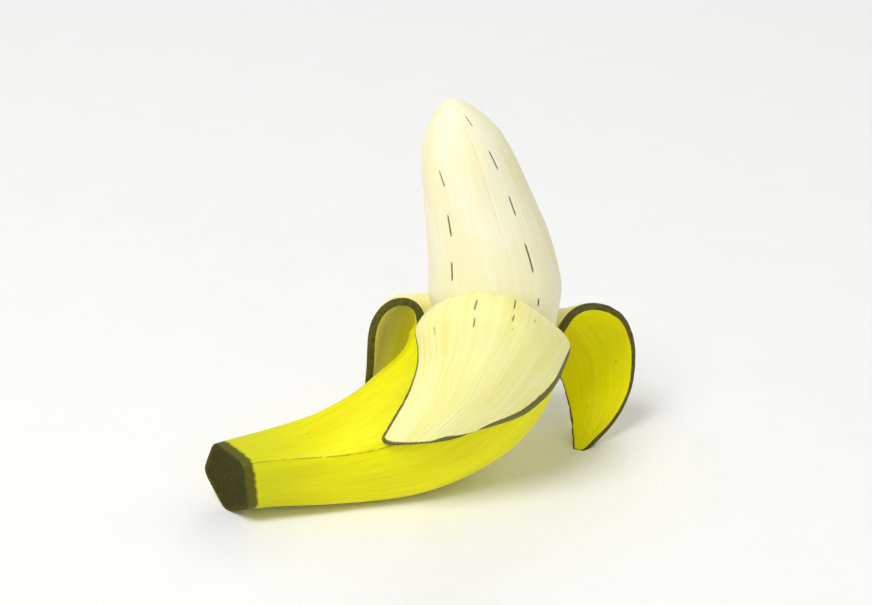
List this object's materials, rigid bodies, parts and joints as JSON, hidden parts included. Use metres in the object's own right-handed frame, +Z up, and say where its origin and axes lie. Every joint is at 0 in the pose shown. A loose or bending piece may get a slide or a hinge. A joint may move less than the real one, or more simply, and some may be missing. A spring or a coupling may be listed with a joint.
{
  "type": "half-peeled banana",
  "caption": "Banana peeled half way and resting on its back: the torn peel folds outwards and the bare fruit curves up out of it.",
  "frame": {"origin": "middle of the bounding box's bottom face, on the surface that the banana rests on", "axes": "+Z up; +X along the fruit from the cut stem towards the peeled end; +Y away from the side that the front flap folds down over"},
  "size_m": [0.1274, 0.0612, 0.1059],
  "materials": {
    "peel": "ripe yellow skin with a waxy satin sheen, pale inside, dark torn edges",
    "flesh": "moist cream flesh, matt to satin"
  },
  "bodies": {
    "root": {"peel": "peel", "flesh": "flesh"}
  },
  "joints": []
}
